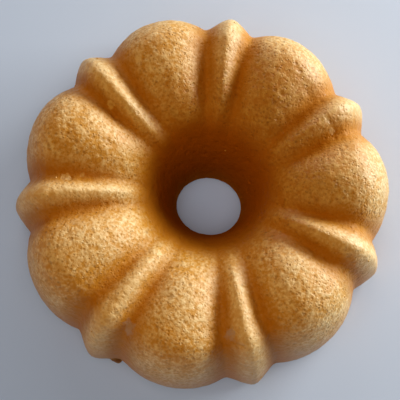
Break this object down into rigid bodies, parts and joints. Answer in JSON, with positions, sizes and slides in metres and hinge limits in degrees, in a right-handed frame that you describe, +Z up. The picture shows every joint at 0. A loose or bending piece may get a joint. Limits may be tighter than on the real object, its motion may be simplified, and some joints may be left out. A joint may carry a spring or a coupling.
{
  "type": "bundt cake",
  "caption": "Whole golden ring cake with broad rounded lobes, narrow sharp ridges between them and a funnel-shaped hole through the middle, standing on its flat side.",
  "frame": {"origin": "middle of the cake on the plane of its flat underside", "axes": "+Z up along the hole, from the flat underside towards the funnel; -Y through the middle of a lobe"},
  "size_m": [0.237, 0.2412, 0.0805],
  "materials": {
    "golden_crust": "golden baked crust, matte with a faint satin sheen, finely pored"
  },
  "bodies": {
    "root": {"ring_cake": "golden_crust"}
  },
  "joints": []
}
